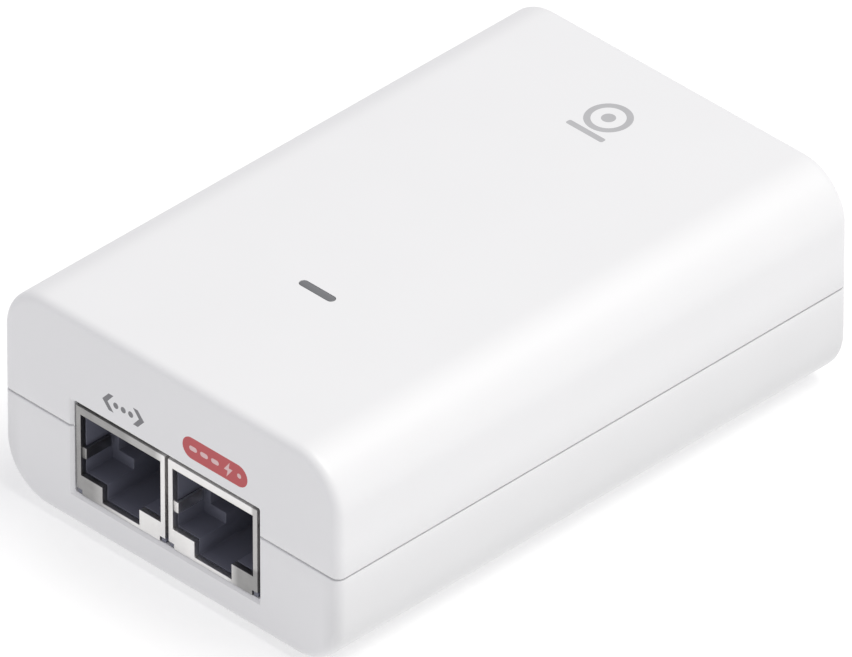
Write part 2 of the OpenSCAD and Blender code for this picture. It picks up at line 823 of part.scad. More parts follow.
module output_inductor_core() {
  color(ferrite) translate([inductor_at[0], inductor_at[1], board_z]) {
    for (z = [0, inductor_h - drum_t]) translate([0, 0, z]) cylinder(r = drum_r, h = drum_t);
    cylinder(r = drum_waist, h = inductor_h);
  }
}

module output_inductor_coil() {
  color(copper) translate([inductor_at[0], inductor_at[1], board_z + drum_t + 0.1])
    ring(drum_r - 0.3, drum_waist + 0.1, inductor_h - 2 * drum_t - 0.2);
}

module lan_magnetics() {
  color(black) {
    board_box(magnetics_at, magnetics_size, 0.4);
    pin_rows(magnetics_at, 3.9, 8, pin_pitch, [0.9, 0.5, 0.9]);
  }
}

module poe_controller() {
  color(black) {
    board_box(controller_at, controller_size, 0.15);
    pin_rows(controller_at, 1.75, 4, pin_pitch, [0.6, 0.42, 0.5]);
  }
}

// Small resistors and capacitors in two rows.
module small_parts() {
  color([0.55, 0.5, 0.4]) for (i = [0:3], j = [0:1])
    board_box([small_at[0] + i * small_pitch[0], small_at[1] + j * small_pitch[1]], small_size);
}

// ---------------------------------------------------------------- assembly

top_cover();
bottom_case();
light_pipe();
status_led();
foot(-1, -1);  // foot_front_left
foot(1, -1);  // foot_front_right
foot(-1, 1);  // foot_rear_left
foot(1, 1);  // foot_rear_right
poe_label();
lan_label();
top_mark();
rating_label();
jack_shield(lan_x);  // lan_jack_shield
jack_housing(lan_x);  // lan_jack_housing
jack_contacts(lan_x);  // lan_jack_contacts
jack_shield(poe_x);  // poe_jack_shield
jack_housing(poe_x);  // poe_jack_housing
jack_contacts(poe_x);  // poe_jack_contacts
inlet_housing();
inlet_pin(-pin_span / 2, -pin_offset);  // inlet_pin_line
inlet_pin(pin_span / 2, -pin_offset);  // inlet_pin_neutral
inlet_pin(0, pin_offset);  // inlet_pin_earth
main_board();
insulation_sheet();
fuse();
thermistor();
varistor();
x_capacitor();
choke_core();
choke_winding(30);  // choke_winding_line
choke_winding(210);  // choke_winding_neutral
bridge_rectifier();
bulk_capacitor();
switching_transistor();
primary_heat_sink();
transformer_core();
transformer_bobbin();
transformer_winding();
optocoupler();
y_capacitor();
output_diode();
output_heat_sink();
heat_sink_screws();
output_capacitor(-12.6);  // output_capacitor_a
output_capacitor(9.2);  // output_capacitor_b
output_inductor_core();
output_inductor_coil();
lan_magnetics();
poe_controller();
small_parts();
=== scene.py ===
# %% [markdown]
# # A power-over-Ethernet injector
# The object is a small white mains brick: two network jacks at one end, a mains inlet at the other, a
# light bar in the top. Its design is already packed as exact solids. This lesson loads them as a fixed
# frame and builds the finished look around them, piece by piece.

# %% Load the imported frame
import json
import math

import bmesh
import bpy
import numpy as np
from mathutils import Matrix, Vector


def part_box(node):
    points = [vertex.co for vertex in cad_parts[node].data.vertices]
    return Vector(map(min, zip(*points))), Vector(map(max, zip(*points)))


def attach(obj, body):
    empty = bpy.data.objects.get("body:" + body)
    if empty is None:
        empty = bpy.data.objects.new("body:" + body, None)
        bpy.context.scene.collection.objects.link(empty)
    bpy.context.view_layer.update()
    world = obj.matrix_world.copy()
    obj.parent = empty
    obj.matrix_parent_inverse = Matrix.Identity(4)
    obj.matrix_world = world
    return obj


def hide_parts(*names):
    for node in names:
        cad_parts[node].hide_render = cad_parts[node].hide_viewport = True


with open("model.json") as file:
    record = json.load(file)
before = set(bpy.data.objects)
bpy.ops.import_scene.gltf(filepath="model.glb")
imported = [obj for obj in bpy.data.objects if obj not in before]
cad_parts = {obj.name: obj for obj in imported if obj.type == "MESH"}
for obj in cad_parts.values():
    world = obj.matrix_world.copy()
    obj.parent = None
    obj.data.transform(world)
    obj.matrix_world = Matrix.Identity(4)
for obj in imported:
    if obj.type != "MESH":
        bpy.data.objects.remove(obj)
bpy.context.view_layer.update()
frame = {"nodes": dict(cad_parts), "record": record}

MM = 0.001
print("frame:", len(frame["nodes"]), "nodes")

# %% [markdown]
# ## Measures
# The rest are the small measures that a box can't tell, such as radii. All of them are in
# millimetres.

# %% Measures of the case and its openings


def span(node):
    """Lowest and highest corner of a node's box, in millimetres."""
    low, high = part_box(node)
    return np.array(low) / MM, np.array(high) / MM


cover_low, cover_high = span("top_cover")
base_low = span("bottom_case")[0]
HALF_W = (cover_high[0] - cover_low[0]) / 2
FRONT, REAR = cover_low[1], cover_high[1]
TOP, BASE = cover_high[2], base_low[2]
MIDDLE = (TOP + BASE) / 2
LONG_R = 7.4
END_R = 1.2
WALL = 2.0
FLOOR = 1.8
SEAM = BASE + 14.4
SEAM_GAP = 0.25
RIM_R = 0.15
TONGUE = 0.9
TONGUE_H = 1.4
LIP = 0.5
INLET_GAP = 0.15
JACK_ROOM = 0.4

lan_low, lan_high = span("lan_jack_shield")
poe_high = span("poe_jack_shield")[1]
JACKS = dict(x0=lan_low[0] - JACK_ROOM, x1=poe_high[0] + JACK_ROOM,
             z0=lan_low[2] - 0.05, z1=lan_high[2] + JACK_ROOM, cut=0.3, chamfer=0.45)
INLET_W, INLET_H, INLET_CUT = 27.2, 19.8, 4.6
INLET = dict(x0=-INLET_W / 2 - INLET_GAP, x1=INLET_W / 2 + INLET_GAP,
             z0=MIDDLE - INLET_H / 2 - INLET_GAP, z1=MIDDLE + INLET_H / 2 + INLET_GAP,
             cut=INLET_CUT, chamfer=0.3)
print("case:", 2 * HALF_W, "x", REAR - FRONT, "x", TOP - BASE, "mm")

# %% [markdown]
# ## From arrays to meshes
# A surface here is a grid of points: rows along one parameter, columns along the other. Neighbouring
# points make a quad. Working on whole arrays keeps the code short, and a formula gives rounder corners
# than modelling by hand. A closed mesh then gets its normals turned outwards, and its edges are marked
# sharp wherever two faces meet at more than a set angle, so that fillets shade smoothly.

# %% Mesh helpers


def quads(rows, cols, wrap_rows=False, wrap_cols=False, start=0):
    """Faces of a grid whose point (row, column) has the number start + row * cols + column."""
    row = np.arange(rows if wrap_rows else rows - 1)
    col = np.arange(cols if wrap_cols else cols - 1)
    row, col = (part.ravel() for part in np.meshgrid(row, col, indexing="ij"))
    next_row, next_col = (row + 1) % rows, (col + 1) % cols
    corners = [row * cols + col, row * cols + next_col, next_row * cols + next_col, next_row * cols + col]
    return (np.stack(corners, axis=1) + start).tolist()


def tidy_mesh(mesh, angle=35.0, weld=1e-7):
    """Merges doubles, turns the faces outwards and marks every edge over the angle as sharp."""
    work = bmesh.new()
    work.from_mesh(mesh)
    bmesh.ops.remove_doubles(work, verts=work.verts, dist=weld)
    bmesh.ops.recalc_face_normals(work, faces=work.faces)
    work.to_mesh(mesh)
    work.free()
    mesh.shade_smooth()
    mesh.set_sharp_from_angle(angle=math.radians(angle))


def piece(name, points, faces, angle=35.0):
    """A mesh object from points in millimetres and a list of faces."""
    mesh = bpy.data.meshes.new(name)
    mesh.from_pydata((np.asarray(points, float).reshape(-1, 3) * MM).tolist(), [], faces)
    tidy_mesh(mesh, angle)
    made = bpy.data.objects.new(name, mesh)
    bpy.context.scene.collection.objects.link(made)
    return made


def apply_modifiers(thing):
    """Turns what a piece's modifiers show into its own mesh."""
    graph = bpy.context.evaluated_depsgraph_get()
    mesh = bpy.data.meshes.new_from_object(thing.evaluated_get(graph))
    thing.modifiers.clear()
    thing.data = mesh
    mesh.name = thing.name


def carve(target, tool, operation="DIFFERENCE"):
    """Cuts a tool out of a piece, or joins the two, and keeps the result as plain mesh."""
    step = target.modifiers.new("carve", "BOOLEAN")
    step.operation, step.solver, step.object = operation, "EXACT", tool
    apply_modifiers(target)
    tidy_mesh(target.data)
    bpy.data.objects.remove(tool, do_unlink=True)
    return target


def open_edges(thing):
    """How many edges of a piece don't join exactly two faces, and its volume in cubic millimetres."""
    work = bmesh.new()
    work.from_mesh(thing.data)
    count = sum(not edge.is_manifold for edge in work.edges)
    volume = work.calc_volume(signed=True) / MM**3
    work.free()
    return count, round(volume, 1)


print("quads in a ring of 2 x 12 points:", len(quads(2, 12, wrap_cols=True)))

# %% [markdown]
# ## Prisms
# Prints, cutters and plates are all outlines pulled along one axis. An outline is a closed ring of
# points; the prism is the ring twice, with the side quads between and one face at each end.

# %% Outlines and prisms


def arc(centre, radius, start, stop, count=12):
    """Points on a circle from one angle to another, in degrees."""
    turn = np.radians(np.linspace(start, stop, count))
    return np.stack([centre[0] + radius * np.cos(turn), centre[1] + radius * np.sin(turn)], axis=1)


def round_box(width, height, radius, count=8, centre=(0, 0)):
    """Closed outline of a rectangle with quarter circles for corners."""
    a, b = width / 2 - radius, height / 2 - radius
    corners = [((a, b), 0), ((-a, b), 90), ((-a, -b), 180), ((a, -b), 270)]
    ring = [arc(place, radius, turn, turn + 90, count) for place, turn in corners]
    return np.concatenate(ring) + np.array(centre)


def prism(name, outlines, low, high, axis="z"):
    """Outlines pulled from low to high. On axis y an outline is drawn in x and z, on axis z in x and y."""
    points, faces, start = [], [], 0
    order = {"y": [0, 2, 1], "z": [0, 1, 2]}[axis]
    for outline in outlines:
        count = len(outline)
        rings = [np.column_stack([outline, np.full(count, level)])[:, order] for level in (low, high)]
        points += rings
        faces += quads(2, count, wrap_cols=True, start=start)
        faces += [list(range(start, start + count)), list(range(start + count, start + 2 * count))]
        start += 2 * count
    return piece(name, np.concatenate(points), faces)


def block(name, low, high):
    """A plain box between two corners."""
    outline = np.array([[low[0], low[1]], [high[0], low[1]], [high[0], high[1]], [low[0], high[1]]])
    return prism(name, [outline], low[2], high[2])


print("points round a rounded box:", len(round_box(10, 5, 1)))

# %% [markdown]
# ## The two shells
# The case is a clamshell: a cover and a base that meet at a seam. Box modelling with bevels would give
# uneven corners where the wide long radius meets the narrow end radius. Instead each shell is one grid.
# Its columns run round the wall's section: over the outside, across the rim, back along the inside and
# across the other rim. Its rows run from the opening in the front face out to the edge, round the end
# fillet, along the length, and in to the opening in the rear face.

# %% The shape of one half of the case
SIDE = np.array([0, 0.3, 0.65, 0.94, 1])
ROUND = np.linspace(0, 1, 19)[1:-1]
FLAT = np.array([0, 0.012, 0.12, 0.3, 0.5, 0.7, 0.88, 0.988, 1])
FACE = (0, 0.1, 0.5, 0.96)
LENGTH = (0.006, 0.25, 0.5, 0.75, 0.994)
FILLET = np.radians(np.linspace(90, 0, 7))
RIM = np.radians([60.0, 30.0, 0.0])
RIM_IN, RIM_UP = RIM_R * (1 - np.sin(RIM)), RIM_R * (1 - np.cos(RIM))


def arch(x0, x1, rim, far, radius, cut=False):
    """A U in x and z: up one side from rim, round a corner to far, across, and down the other side.
    The corner is a quarter circle of that radius, or with cut=True the straight line across it."""
    way = math.copysign(1.0, far - rim)
    turn = ROUND * math.pi / 2
    corner_in = radius * (ROUND if cut else 1 - np.cos(turn))
    corner_z = far - way * radius + way * radius * (ROUND if cut else np.sin(turn))
    up = rim + (far - way * radius - rim) * SIDE
    across = x0 + radius + (x1 - x0 - 2 * radius) * FLAT
    x = [np.full(len(SIDE), x0), x0 + corner_in, across, (x1 - corner_in)[::-1], np.full(len(SIDE), x1)]
    z = [up, corner_z, np.full(len(FLAT), far), corner_z[::-1], up[::-1]]
    return np.stack([np.concatenate(x), np.concatenate(z)], axis=1)


def end_rows(opening, rim, far, opening_far, inner_rim, inner_far, y, inward):
    """Rows of one end: chamfer of the opening, flat face, then the fillet, a quarter turn of END_R.
    Each row is (outside curve, its y, inside curve, its y, way in, y from which the rim is measured)."""
    way = math.copysign(1.0, far - rim)
    cut, chamfer = opening["cut"], opening["chamfer"]
    bevelled = cut > 1
    hole = arch(opening["x0"], opening["x1"], rim, opening_far, cut, bevelled)
    mouth = arch(opening["x0"] - chamfer, opening["x1"] + chamfer, rim, opening_far + way * chamfer,
                 cut, bevelled)
    edge = arch(-HALF_W + END_R, HALF_W - END_R, rim, far - way * END_R, LONG_R - END_R)
    back = arch(opening["x0"], opening["x1"], inner_rim, opening_far, cut, bevelled)
    inside = arch(-HALF_W + WALL, HALF_W - WALL, inner_rim, inner_far, LONG_R - WALL)
    outer = [(hole, y + inward * chamfer, (0.0, 1.0))]
    outer += [(mouth + (edge - mouth) * t, y, (0.0, 1.0)) for t in FACE]
    for angle in FILLET:
        shrink = END_R * (1 - math.cos(angle))
        ring = arch(-HALF_W + shrink, HALF_W - shrink, rim, far - way * shrink, LONG_R - shrink)
        outer.append((ring, y + inward * END_R * (1 - math.sin(angle)), (math.cos(angle), math.sin(angle))))
    steps = np.linspace(0, 1, len(outer))
    rows = []
    for step, (curve, curve_y, way_in) in zip(steps, outer):
        from_y = y if way_in[0] < 1e-6 else curve_y
        rows.append((curve, curve_y, back + (inside - back) * step, y + inward * WALL,
                     (way_in[0], way_in[1] * inward), from_y))
    return rows


def rim_steps(x, sign, curve_y, way_in, from_y, rim, way, chain):
    """Points down one side of the wall at the seam: a rounded edge, then the steps of chain."""
    in_x, in_y = sign * way_in[0], way_in[1]
    edge = [(x + in_x * d, curve_y + in_y * d, rim + way * h) for d, h in zip(RIM_IN, RIM_UP)]
    steps = [(x + in_x * d, from_y + in_y * d, height) for d, height in chain]
    return np.array(edge + steps)


def shell(name, rim, far, chain, inner_rim, inner_far, jack_far, inlet_far, inlet):
    """One half of the case as a closed grid.
    rim and far are the heights of the seam edge and of the flat outside; inner_* are the same inside.
    chain lists the steps of the rim as (distance in from the outside, height)."""
    way = math.copysign(1.0, far - rim)
    start = rim + way * RIM_R
    rows = end_rows(JACKS, start, far, jack_far, inner_rim, inner_far, FRONT, 1)
    section = arch(-HALF_W, HALF_W, start, far, LONG_R)
    hollow = arch(-HALF_W + WALL, HALF_W - WALL, inner_rim, inner_far, LONG_R - WALL)
    for t in LENGTH:
        y = FRONT + END_R + (REAR - FRONT - 2 * END_R) * t
        rows.append((section, y, hollow, FRONT + WALL + (REAR - FRONT - 2 * WALL) * t, (1.0, 0.0), y))
    rows += end_rows(inlet, start, far, inlet_far, inner_rim, inner_far, REAR, -1)[::-1]

    points = []
    for outer, outer_y, inner, inner_y, way_in, from_y in rows:
        left = rim_steps(outer[0, 0], 1, outer_y, way_in, from_y, rim, way, chain)
        right = rim_steps(outer[-1, 0], -1, outer_y, way_in, from_y, rim, way, chain)
        outside = np.column_stack([outer[:, 0], np.full(len(outer), outer_y), outer[:, 1]])
        inside = np.column_stack([inner[:, 0], np.full(len(inner), inner_y), inner[:, 1]])
        points.append(np.concatenate([outside, right, inside[::-1], left[::-1]]))
    points = np.array(points)
    count, ledge, cols = len(section), len(RIM) + len(chain), points.shape[1]
    faces = quads(len(rows), cols, wrap_cols=True)
    for first in (0, (len(rows) - 1) * cols):
        outside = first + np.arange(count)
        right = first + count + np.arange(ledge)
        inside = first + count + ledge + np.arange(count)[::-1]
        left = first + 2 * count + ledge + np.arange(ledge)
        faces += np.stack([outside[:-1], outside[1:], inside[1:], inside[:-1]], axis=1).tolist()
        faces += [[*right.tolist(), int(inside[-1]), int(outside[-1])],
                  [*left.tolist(), int(outside[0]), int(inside[0])]]
    return piece(name, points, faces)


cover = shell("case_top_cover", rim=SEAM + SEAM_GAP, far=TOP,
              chain=[(WALL - TONGUE, SEAM + SEAM_GAP), (WALL - TONGUE, SEAM + TONGUE_H + 0.2)],
              inner_rim=SEAM + TONGUE_H + 0.2, inner_far=TOP - WALL,
              jack_far=JACKS["z1"], inlet_far=INLET["z1"], inlet=INLET)
base = shell("case_base", rim=SEAM, far=BASE,
             chain=[(LIP, SEAM), (LIP, SEAM + SEAM_GAP), (WALL - TONGUE, SEAM + SEAM_GAP),
                    (WALL - TONGUE, SEAM + TONGUE_H)],
             inner_rim=SEAM + TONGUE_H, inner_far=BASE + FLOOR,
             jack_far=JACKS["z0"], inlet_far=INLET["z0"], inlet=dict(INLET, cut=0.3))
print("cover open edges and mm3:", open_edges(cover), " base:", open_edges(base))

# %% [markdown]
# ## Posts, hooks and pockets
# Moulded shells carry small features: posts that hold the board, snap hooks along the sides, the slot of
# the light bar, and shallow pockets for prints, feet and the label. Each is a prism that is joined to the
# shell or cut from it. A boolean is right here, because every cut lands on a flat face, where the long
# faces that it leaves don't show.

# %% Join and cut the features of both shells
POST_X, POST_R = 22.3, 1.6
POST_Y = (FRONT + 4.9, REAR - 6.1)
HOOK_Y, HOOK_L = (-26.0, 18.0), 6.0
BLADE_IN, BLADE_OUT, CATCH_OUT, POCKET_IN, POCKET_OUT = -1.1, -0.1, 0.4, -1.0, 0.6
BOARD_TOP = span("main_board")[1][2]
BOARD_LOW = span("main_board")[0][2]
INNER_W = HALF_W - WALL
light_low, light_high = span("light_pipe")
LIGHT_X, LIGHT_Y = (light_low[0] + light_high[0]) / 2, (light_low[1] + light_high[1]) / 2
LIGHT_L, LIGHT_W = 6.0, 1.3
PRINT_T, SIGN_T = 0.3, 0.15
SEAT_GAP = 0.15
FEET = ("foot_front_left", "foot_front_right", "foot_rear_left", "foot_rear_right")



def hook_block(name, side, reach, y_span, z_span):
    """A block at a side wall; reach is how far its two faces lie outside the wall's inner face."""
    (x0, x1), (y0, y1), (z0, z1) = sorted(side * (INNER_W + out) for out in reach), y_span, z_span
    return block(name, (x0, y0, SEAM + z0), (x1, y1, SEAM + z1))


for side in (-1, 1):
    for y in POST_Y:
        disc = arc((side * POST_X, y), POST_R, 0, 360, 25)[:-1]
        carve(cover, prism("post", [disc], BOARD_TOP, TOP - 1.6), "UNION")
        carve(base, prism("post", [disc], BASE + 1.2, BOARD_LOW), "UNION")
    for y in HOOK_Y:
        along = (y, y + HOOK_L)
        within = (y + 0.5, y + HOOK_L - 0.5)
        carve(cover, hook_block("blade", side, (BLADE_IN, BLADE_OUT), along, (-2.8, 4)), "UNION")
        carve(cover, hook_block("root", side, (-0.2, 0.2), along, (2, 4)), "UNION")
        carve(cover, hook_block("catch", side, (-0.2, CATCH_OUT), within, (-2.4, -1.6)), "UNION")
        carve(base, hook_block("pocket", side, (POCKET_IN, POCKET_OUT), along, (-2.9, -1.4)))


def stadium(length, width, centre, count=10):
    """Outline of a bar with round ends."""
    reach = (length - width) / 2
    right = arc((reach, 0), width / 2, -90, 90, count)
    left = arc((-reach, 0), width / 2, 90, 270, count)
    return np.concatenate([right, left]) + np.array(centre)


carve(cover, prism("slot", [stadium(LIGHT_L, LIGHT_W, (LIGHT_X, LIGHT_Y))], TOP - WALL - 1, TOP + 1))
for node in FEET:
    low, high = span(node)
    middle, radius = (low + high) / 2, (high[0] - low[0]) / 2 + SEAT_GAP
    carve(base, prism("seat", [arc(middle[:2], radius, 0, 360, 49)[:-1]], BASE - 1, high[2]))
label_low, label_high = span("rating_label")
label_size = label_high - label_low + 0.4
carve(base, prism("seat", [round_box(label_size[0], label_size[1], 2.2)], BASE - 1, label_high[2]))
print("after the cuts:", open_edges(cover), open_edges(base))

# %% [markdown]
# ## Prints
# The red pill, the network sign and the mark on the top are printed on the real case. An image texture
# could hold them, but flat geometry keeps their edges crisp at any distance. Each print fills a pocket of
# its own, flush with the surface, so no two faces lie in the same plane.

# %% Outlines of the prints
PILL_L, PILL_H = 11.3, 3.2
pill_middle = sum(span("poe_label")) / 2
sign_middle = sum(span("lan_label")) / 2
mark_low, mark_high = span("top_mark")
MARK_R = 3.15
MARK_STROKE = 0.9
MARK = ((mark_low[0] + mark_high[0]) / 2, mark_high[1] - MARK_R)


def shifted(outline, place, flip=1.0):
    """An outline moved to a place, and flipped in x first if flip is -1."""
    return np.array(outline, float) * [flip, 1.0] + np.array(place)


chevron = [(3.65, 0), (2.55, 1.25), (1.7, 1.25), (2.75, 0), (1.7, -1.25), (2.55, -1.25)]
sign_place = (sign_middle[0], sign_middle[2])
lan_sign = [shifted(chevron, sign_place), shifted(chevron[::-1], sign_place, flip=-1)]
lan_sign += [arc((sign_place[0] + x, sign_place[1]), 0.44, 0, 360, 25)[:-1] for x in (-1.3, 0, 1.3)]

bolt = [(0.25, 1.15), (-0.75, -0.2), (-0.1, -0.2), (-0.3, -1.15), (0.75, 0.25), (0.1, 0.25)]
pill_place = (pill_middle[0], pill_middle[2])
pill_sign = [shifted(bolt, (pill_place[0] + 2.3, pill_place[1]))]
pill_sign += [stadium(1.35, 0.7, (pill_place[0] + x, pill_place[1])) for x in (-3.8, -1.9, 0.0)]
pill_sign += [arc((pill_place[0] + 4.2, pill_place[1]), 0.35, 0, 360, 21)[:-1]]


def print_piece(name, outlines, y0, y1, node=None):
    """A flat print in the front face, filling its own pocket."""
    made = prism(name, outlines, y0, y1, "y")
    if node:
        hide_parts(node)
    return made


pill_outline = stadium(PILL_L, PILL_H, pill_place, 16)
pill = print_piece("print_power_pill", [pill_outline], FRONT, FRONT + PRINT_T, "poe_label")
for outline in pill_sign:
    carve(pill, prism("hole", [outline], FRONT - 1, FRONT + SIGN_T, "y"))
power_sign = print_piece("print_power_sign", pill_sign, FRONT, FRONT + SIGN_T)
network_sign = print_piece("print_network_sign", lan_sign, FRONT, FRONT + PRINT_T, "lan_label")
carve(cover, prism("pocket", [pill_outline], FRONT - 1, FRONT + PRINT_T, "y"))
carve(cover, prism("pocket", lan_sign, FRONT - 1, FRONT + PRINT_T, "y"))


def mark_shape(name, low, high):
    """The mark: a ring with a dot in it, and a bar. The ring is a closed grid: its section is a rectangle."""
    turn = np.linspace(0, 2 * math.pi, 97)[:-1, None]
    radius = np.array([MARK_R, MARK_R, MARK_R - MARK_STROKE, MARK_R - MARK_STROKE])[None, :]
    level = np.array([low, high, high, low])[None, :] + 0 * turn
    grid = np.stack([MARK[0] + radius * np.cos(turn), MARK[1] + radius * np.sin(turn), level], axis=-1)
    ring = piece(name, grid, quads(96, 4, wrap_rows=True, wrap_cols=True))
    bar = round_box(MARK_R * 2, MARK_STROKE, 0.3, centre=(MARK[0], MARK[1] - MARK_R * 1.28))
    dot_and_bar = prism("dot_and_bar", [arc(MARK, MARK_R * 0.3, 0, 360, 33)[:-1], bar], low, high)
    return carve(ring, dot_and_bar, "UNION")


carve(cover, mark_shape("pocket", TOP - PRINT_T, TOP + 1))
top_mark = mark_shape("print_top_mark", TOP - PRINT_T, TOP)
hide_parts("top_mark")
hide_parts("top_cover")
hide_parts("bottom_case")
print("cover faces:", len(cover.data.polygons), "base faces:", len(base.data.polygons), open_edges(cover))

# %% [markdown]
# ## Parts finished from the frame
# Many parts are boxes with holes: the jack cans, the inlet, the heat sinks. Their exact shape is already
# in the frame, but as loose triangles with knife edges. A copy is welded, its flat faces are merged, and
# every edge gets a small rounding, because a real edge always catches a line of light. The yellow
# capacitor also gets the sunk panels of its moulded box, and the rectifier its cut corner.

# %% Copies with rounded edges
SLOT_OF = {entry["node"]: entry["material_slot"] for entry in frame["record"]["subparts"]}


def finished(node, rounding, steps=3, angle=40.0):
    """A copy of a node whose edges are rounded by so many millimetres. It stands in for the node."""
    name = node + "_finished"
    made = bpy.data.objects.new(name, frame["nodes"][node].data.copy())
    made.data.materials.clear()
    bpy.context.scene.collection.objects.link(made)
    work = bmesh.new()
    work.from_mesh(made.data)
    bmesh.ops.remove_doubles(work, verts=work.verts, dist=2e-6)
    bmesh.ops.dissolve_limit(work, angle_limit=math.radians(0.4), verts=work.verts, edges=work.edges)
    work.to_mesh(made.data)
    work.free()
    bevel = made.modifiers.new("rounding", "BEVEL")
    bevel.width, bevel.segments = rounding * MM, steps
    bevel.limit_method, bevel.angle_limit = "ANGLE", math.radians(angle)
    apply_modifiers(made)
    made.data.shade_smooth()
    made.data.set_sharp_from_angle(angle=math.radians(angle))
    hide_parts(node)
    return made


parts = {}
ROUNDING = {
    "lan_jack_shield": 0.09, "poe_jack_shield": 0.09, "lan_jack_housing": 0.1, "poe_jack_housing": 0.1,
    "inlet_housing": 0.25, "inlet_pin_line": 0.25, "inlet_pin_neutral": 0.25, "inlet_pin_earth": 0.25,
    "light_pipe": 0.12, "lan_jack_contacts": 0.06, "poe_jack_contacts": 0.06,
    "bridge_rectifier": 0.2, "x_capacitor": 0.6, "switching_transistor": 0.15, "output_diode": 0.15,
    "primary_heat_sink": 0.2, "output_heat_sink": 0.2, "transformer_core": 0.3, "transformer_bobbin": 0.2,
    "transformer_winding": 0.6, "optocoupler": 0.12, "lan_magnetics": 0.12, "poe_controller": 0.06,
    "small_parts": 0.06, "status_led": 0.15, "heat_sink_screws": 0.2, "main_board": 0.05,
    "choke_core": 0.4, "output_inductor_core": 0.2, "insulation_sheet": 0.05,
    "thermistor": 0.8, "varistor": 0.8, "y_capacitor": 0.8,
}
for node, rounding in ROUNDING.items():
    parts[node] = finished(node, rounding)
x_low, x_high = span("x_capacitor")
x_middle = (x_low + x_high) / 2
top_panel = round_box(12, 4, 0.6, centre=x_middle[:2])
side_panel = round_box(14, 9, 0.8, centre=x_middle[[0, 2]])
carve(parts["x_capacitor"], prism("panel", [top_panel], x_high[2] - 0.2, x_high[2] + 1))
for face in (x_low[1], x_high[1]):
    carve(parts["x_capacitor"], prism("panel", [side_panel], face - 0.2, face + 0.2, "y"))

bridge_low, bridge_high = span("bridge_rectifier")
corner = np.array([(-1.0, 1.0), (-1.0, -2.4), (2.4, 1.0)]) + [bridge_low[0], bridge_high[2]]
carve(parts["bridge_rectifier"], prism("corner", [corner], bridge_low[1] - 1, bridge_high[1] + 1, "y"))
print("finished from the frame:", len(parts), "open edges:", open_edges(parts["x_capacitor"])[0],
      open_edges(parts["bridge_rectifier"])[0])

# %% [markdown]
# ## Turned parts
# Feet, capacitors and the fuse are round. Each is a profile of (radius, height) points turned about an
# upright axis, as on a lathe. A stack of cylinders could do it too, but a profile lets one curve run from
# the rolled lower edge through the crimped groove to the curled rim without a join.

# %% Feet, capacitors and fuse


def turned(name, profile, centre, count=72):
    """A solid of revolution: each (radius, height) becomes a ring (radius cos t, radius sin t, height).
    The profile starts and ends on the axis, which closes the solid."""
    radius, height = np.array(profile, float).T
    turn = np.linspace(0, 2 * math.pi, count + 1)[:-1]
    grid = np.stack([centre[0] + np.outer(radius, np.cos(turn)), centre[1] + np.outer(radius, np.sin(turn)),
                     np.outer(height, np.ones(count))], axis=-1)
    return piece(name, grid, quads(len(radius), count, wrap_cols=True))


def round_node(node):
    """Centre in x and y, radius, lowest and highest level of an upright round node."""
    low, high = span(node)
    return (low + high)[:2] / 2, (high[0] - low[0]) / 2, low[2], high[2]


def foot(node):
    """Rubber foot: a dished underside, a rolled lower edge and a fine bevel on top."""
    centre, radius, low, high = round_node(node)
    profile = [(0, low + 0.2), (radius * 0.5, low + 0.2), (radius * 0.58, low + 0.14), (radius * 0.64, low)]
    profile += [*arc((radius - 0.5, low + 0.5), 0.5, -90, 0, 9)]
    profile += [(radius, high - 0.12), (radius - 0.12, high), (0, high)]
    return turned(node + "_rubber", profile, centre)


def can(node):
    """Capacitor sleeve: rolled lower edge, crimped groove, curled rim round a sunk lid."""
    centre, radius, low, high = round_node(node)
    groove = low + 0.14 * (high - low)
    rim = radius * 0.84
    profile = [(0, low), *arc((radius - 0.6, low + 0.6), 0.6, -90, 0, 7)]
    profile += [*arc((radius + 0.3, groove), 0.9, 250, 110, 11)]
    profile += [*arc((radius - 0.7, high - 0.7), 0.7, 0, 90, 8)]
    profile += [(rim + 0.1, high), (rim, high - 0.1), (rim, high - 0.6), (0, high - 0.6)]
    return turned(node + "_sleeve", profile, centre)


def lid(node):
    """Aluminium lid of a capacitor with the scored cross that lets it vent."""
    centre, radius, low, high = round_node(node)
    rim = radius * 0.84 - 0.04
    top = high - 0.15
    profile = [(0, high - 0.55), (rim, high - 0.55), (rim, top - 0.12), (rim - 0.12, top), (0, top)]
    made = turned(node + "_lid", profile, centre)
    arm = rim * 0.72
    for reach in (np.array([arm, 0.14]), np.array([0.14, arm])):
        carve(made, block("score", (*(centre - reach), top - 0.14), (*(centre + reach), high)))
    return made


def fuse_case(node):
    """Round radial fuse: a stepped foot, straight sides and a shallow well in its domed top."""
    centre, radius, low, high = round_node(node)
    profile = [(0, low), (radius - 0.5, low), (radius - 0.5, low + 0.5), (radius - 0.1, low + 0.5)]
    profile += [(radius, low + 0.6), *arc((radius - 1, high - 1), 1.0, 0, 80, 9)]
    profile += [(radius * 0.5, high), (radius * 0.42, high - 0.3), (0, high - 0.3)]
    return turned(node + "_case", profile, centre)


CANS = ("bulk_capacitor", "output_capacitor_a", "output_capacitor_b")
lids = [lid(node) for node in CANS]
for build, nodes in ((foot, FEET), (can, CANS), (fuse_case, ("fuse",))):
    for node in nodes:
        parts[node] = build(node)
        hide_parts(node)
print("turned, open edges:", [open_edges(parts[node])[0] for node in (*FEET, *CANS, "fuse")],
      [open_edges(made)[0] for made in lids])

# %% [markdown]
# ## Wound wire
# The design holds each winding as one solid. Here the choke and the output coil become real wire: a path
# that winds round the core, with a small circle carried along it. A curve object with a bevel would also
# do, but its circle twists where the path turns sharply; here the circle is always set out from the core,
# so the wire lies even.

# %% Windings


